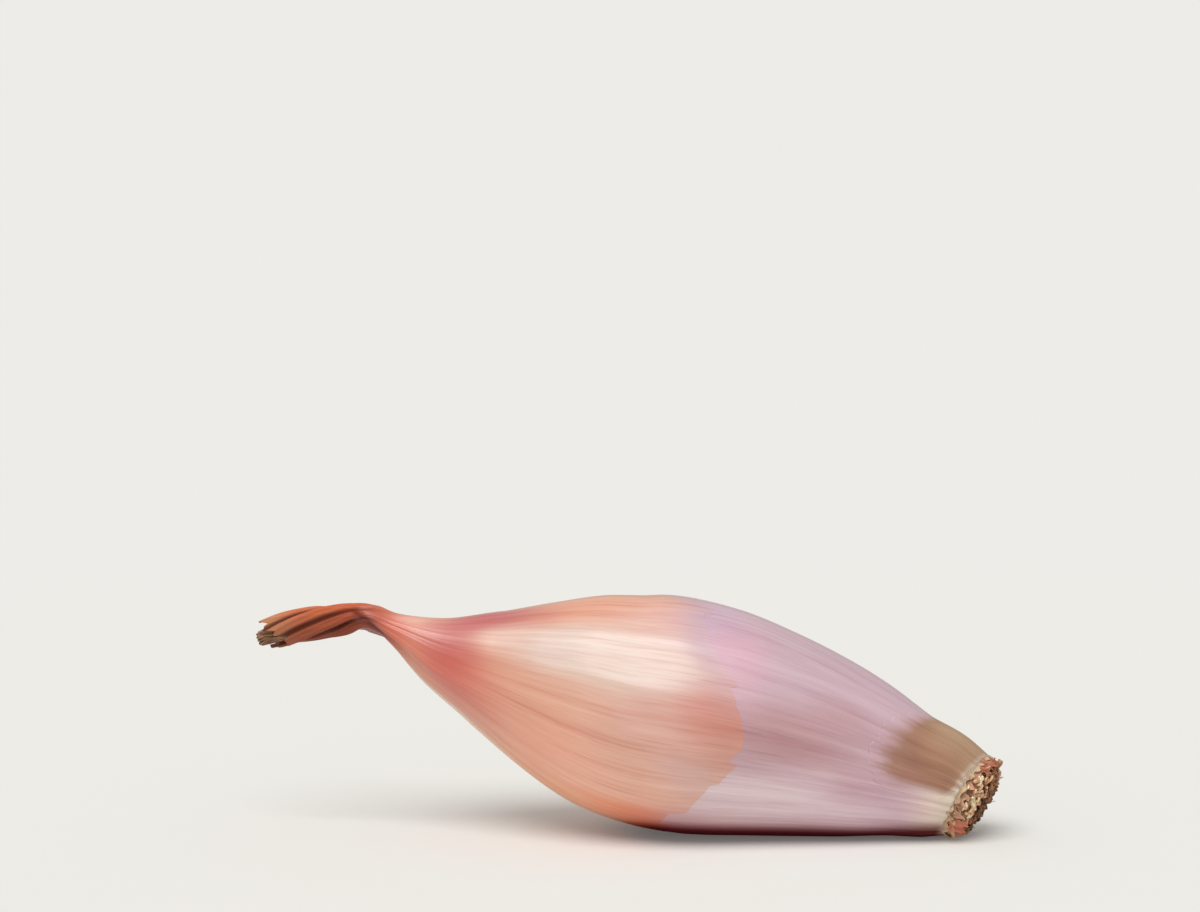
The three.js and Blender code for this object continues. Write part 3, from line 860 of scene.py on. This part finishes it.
def make_crust(material):
    """The mat of old roots: a lumpy dome covered with short stubs that curl over each other."""
    pile = Pile()
    rng = np.random.default_rng(7)
    rows, n = 26, 90
    share = np.cos(np.linspace(0, 1, rows) * math.pi / 2 * 0.98)[:, None]
    angle = TURN * np.arange(n)[None, :] / n
    rings = at_base(MAT_RADIUS * share * rim_share(angle), angle, mat_height(share))
    bumps = np.array([noise.fractal(Vector(point * 0.9), 0.7, 2.1, 4) for point in rings.reshape(-1, 3)])
    bumps = bumps.reshape(rows, n)
    rings = rings + FACE * (0.45 * bumps - 0.15)[..., None]
    rings[..., 2] = np.maximum(rings[..., 2], FLOOR_CLEARANCE)
    # The bed is painted lighter on the near side as light, and darker in its dips as shade.
    bed = BED_SHADE + smooth(0.1, 0.6, share * np.sin(angle))[..., None] * BED_LIT
    add_loft(pile, rings, bed * (1 + 0.5 * bumps)[..., None], np.zeros(3))
    golden = math.pi * (3 - math.sqrt(5))
    for i in range(STUBS):
        outward = math.sqrt((i + 0.5) / STUBS)
        turn = i * golden + rng.uniform(-0.3, 0.3)
        start = MAT_RADIUS * outward * rim_share(turn) * np.array([math.sin(turn), math.cos(turn)])
        heading = math.atan2(math.cos(turn), math.sin(turn)) + rng.uniform(-1.6, 1.6)
        # Painted light and shade: the mat is darkest low on the far side and palest at the near rim.
        near, high = outward * math.sin(turn), outward * math.cos(turn)
        lit = smooth(0.05, 0.6, near)
        side = 0.42 + 1.3 * lit + 0.25 * smooth(0.1, 0.8, high) + rng.uniform(-0.12, 0.12)
        length, rise, thick = rng.uniform(1.0, 2.4), rng.uniform(0.25, 0.8), rng.uniform(0.18, 0.4)
        tint = ROOT_TINTS[rng.integers(len(ROOT_TINTS))]
        tint = side * (tint + 0.6 * lit * (PAINTED_LIGHT_ROOT - tint)) * (lit + (1 - lit) * FAR_SHADE)
        add_root(pile, rng, start, heading, mat_height(outward) - 0.15, length, rise, thick, tint)
    for _ in range(FINE_ROOTS):
        turn = rng.uniform(0, TURN)
        start = rng.uniform(3.5, 6.2) * np.array([math.sin(turn), math.cos(turn)])
        heading = math.atan2(math.cos(turn), math.sin(turn)) + rng.uniform(-0.6, 0.6)
        add_root(
            pile, rng, start, heading, 1.2, rng.uniform(1.8, 3.0), rng.uniform(1.0, 2.2),
            rng.uniform(0.06, 0.1), ROOT_TINTS[rng.integers(3)], 6,
        )
    return pile.make("root_mat", material)


def make_single_root(i, material):
    """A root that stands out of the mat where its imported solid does."""
    pile = Pile()
    rng = np.random.default_rng(200 + i)
    low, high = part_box(f"root_{i + 1:02d}")
    middle = np.array((low + high) / 2) / MM - FACE_CENTRE
    turn = math.atan2(middle @ FACE_FRONT, middle @ FACE_UP)
    start = MAT_RADIUS * rim_share(turn) * np.array([math.sin(turn), math.cos(turn)])
    heading = math.atan2(math.cos(turn), math.sin(turn)) + rng.uniform(-0.8, 0.8)
    length, rise = rng.uniform(1.8, 3.0), rng.uniform(0.8, 1.5)
    add_root(pile, rng, start, heading, 0.7, length, rise, 0.36, ROOT_TINTS[i % 4], 10)
    return pile.make(f"dried_root_{i + 1:02d}", material)


# ---------------------------------------------------------------- placing everything
def stand_for(piece, slot, *nodes):
    """The shallot is one body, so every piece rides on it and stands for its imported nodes."""
    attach(piece, "root")
    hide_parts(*nodes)


LILAC_SCALE = streaked_material(
    "lilac_scale", (0.74, 0.58, 0.66), (1.16, 1.26, 1.22), 0.4, 0.36, 0.05,
    coat=0.35, Coat_Roughness=0.22, Subsurface_Weight=0.12,
    Subsurface_Scale=0.002, Subsurface_Radius=(1.0, 0.45, 0.4))
COPPER_SKIN = streaked_material(
    "copper_skin", (0.80, 0.58, 0.52), (1.12, 1.28, 1.34), 0.42, 0.34, 0.05,
    coat=0.45, Coat_Roughness=0.22, Subsurface_Weight=0.06,
    Subsurface_Scale=0.0015, Subsurface_Radius=(1.0, 0.4, 0.25))
DRY_NECK = streaked_material("dry_neck", (0.45, 0.34, 0.30), (1.3, 1.3, 1.3), 0.8, 0.6, 0.2, 0.6)
REMNANT = streaked_material("brown_remnant", (0.78, 0.70, 0.64), (1.14, 1.16, 1.18), 0.6, 0.45, 0.1, 0.4)
TORN_SCRAP = streaked_material("torn_scrap", (0.7, 0.48, 0.42), (1.2, 1.35, 1.35), 0.7, 0.5, 0.15, 0.5)
ROOT = root_material()

stand_for(make_bulb(LILAC_SCALE), "bulb_scale", "fleshy_bulb")
stand_for(make_skin(COPPER_SKIN), "copper_skin", "outer_skin")
for i, leaf in enumerate(NECK_LEAVES):
    stand_for(make_neck_leaf(i, DRY_NECK, *leaf), "dry_neck", f"neck_leaf_{i + 1}")

remnant = make_scrap(
    "brown_skin_remnant", REMNANT, -1.8, 1.7,
    remnant_root_edge, remnant_neck_edge,
    50, remnant_tint, (90, 220),
)
stand_for(remnant, "brown_remnant", "base_skin_scrap")

for i, (middle, spread, past, inner, flare, shade) in enumerate(RIM_SCRAPS):
    scrap = make_scrap(
        f"torn_rim_scrap_{i + 1}", TORN_SCRAP, middle - spread, middle + spread,
        lambda angle, past=past: rim_station(angle) + past,
        lambda angle, inner=inner: rim_station(angle) + inner,
        130 + 3 * i, torn_tint(shade), (24, 36), flare, side_fade=0.22, fringe=0.09, wrinkle=0.15,
    )
    stand_for(scrap, "rim_scrap", f"rim_scrap_{i + 1}")

stand_for(make_plate(ROOT), "root_plate", "root_plate")
stand_for(make_crust(ROOT), "dry_root", "root_crust")
for i in range(SINGLE_ROOTS):
    stand_for(make_single_root(i, ROOT), "dry_root", f"root_{i + 1:02d}")

# ---------------------------------------------------------------- floor, light and camera
PAPER_WHITE = (237, 236, 232)
FLOOR_RADIUS = 1.6
FLOOR_ALBEDO = 0.91
FLOOR_GLOW = 0.12
FADE_FROM, FADE_TO = 0.10, 0.42
FILL = 0.6
KEY_STRENGTH = 2.1
KEY_AZIMUTH, KEY_ELEVATION, KEY_SPREAD = -15, 62, 44


def make_floor():
    """A pale disc that fades into the backdrop before its edge."""
    n = Nodes("pale_floor")
    position = n.add("ShaderNodeNewGeometry").outputs["Position"]
    distance = n.add("ShaderNodeVectorMath", {"operation": "LENGTH"}, _0=position).outputs["Value"]
    fade = n.ramp(distance, FADE_FROM, FADE_TO)
    paper = n.add("ShaderNodeBsdfDiffuse", Color=(*(linear(*PAPER_WHITE) * FLOOR_ALBEDO), 1.0))
    glow = n.add("ShaderNodeEmission", Color=rgba(*PAPER_WHITE), Strength=1.0)
    lit = n.add("ShaderNodeMixShader", _0=FLOOR_GLOW, _1=paper.outputs[0], _2=glow.outputs[0])
    clear = n.add("ShaderNodeBsdfTransparent")
    mixed = n.add("ShaderNodeMixShader", _0=fade, _1=lit.outputs[0], _2=clear.outputs[0])
    n.add("ShaderNodeOutputMaterial", Surface=mixed.outputs[0])
    mesh = bpy.data.meshes.new("floor")
    sides = 64
    turns = [TURN * k / sides for k in range(sides)]
    rim = [(FLOOR_RADIUS * math.cos(turn), FLOOR_RADIUS * math.sin(turn), 0) for turn in turns]
    mesh.from_pydata(rim, [], [tuple(range(sides))])
    mesh.materials.append(n.material)
    floor = bpy.data.objects.new("floor", mesh)
    bpy.context.scene.collection.objects.link(floor)


def make_world():
    """Even soft light from all round. The backdrop shows brighter than it lights."""
    world = bpy.data.worlds.new("studio")
    world.use_nodes = True
    tree = world.node_tree
    tree.nodes["Background"].inputs["Color"].default_value = rgba(*PAPER_WHITE)
    tree.nodes["Background"].inputs["Strength"].default_value = FILL
    shown = tree.nodes.new("ShaderNodeBackground")
    shown.inputs["Color"].default_value = rgba(*PAPER_WHITE)
    path, mix = tree.nodes.new("ShaderNodeLightPath"), tree.nodes.new("ShaderNodeMixShader")
    tree.links.new(path.outputs["Is Camera Ray"], mix.inputs[0])
    tree.links.new(tree.nodes["Background"].outputs[0], mix.inputs[1])
    tree.links.new(shown.outputs[0], mix.inputs[2])
    tree.links.new(mix.outputs[0], tree.nodes["World Output"].inputs["Surface"])
    bpy.context.scene.world = world


def direction(azimuth, elevation):
    a, e = math.radians(azimuth), math.radians(elevation)
    return Vector((math.sin(a) * math.cos(e), -math.cos(a) * math.cos(e), math.sin(e)))


def make_key():
    """One broad soft key from the upper left of the front, far enough away to light the floor evenly."""
    lamp = bpy.data.lights.new("key", "SUN")
    lamp.angle = math.radians(KEY_SPREAD)
    lamp.energy = KEY_STRENGTH
    light = bpy.data.objects.new("key", lamp)
    light.rotation_euler = direction(KEY_AZIMUTH, KEY_ELEVATION).to_track_quat("Z", "Y").to_euler()
    bpy.context.scene.collection.objects.link(light)


def make_camera():
    """A long lens from just right of the front and a little above. The shallot sits low in the picture."""
    azimuth, elevation, distance, width = 4, 7, 0.7, 0.2056
    aim_left, aim_above = 0.00685, 0.06414
    back = direction(azimuth, elevation)
    right = Vector((math.cos(math.radians(azimuth)), math.sin(math.radians(azimuth)), 0))
    up = back.cross(right)
    target = Vector(SHIFT * MM) - right * aim_left + up * aim_above
    lens = bpy.data.cameras.new("camera")
    lens.sensor_width = 36
    lens.lens = lens.sensor_width * distance / width
    camera = bpy.data.objects.new("camera", lens)
    turn = Matrix((right, up, back)).transposed().to_4x4()
    camera.matrix_world = Matrix.Translation(target + back * distance) @ turn
    bpy.context.scene.collection.objects.link(camera)
    bpy.context.scene.camera = camera


make_floor()
make_world()
make_key()
make_camera()
bpy.context.scene.view_settings.view_transform = "Standard"
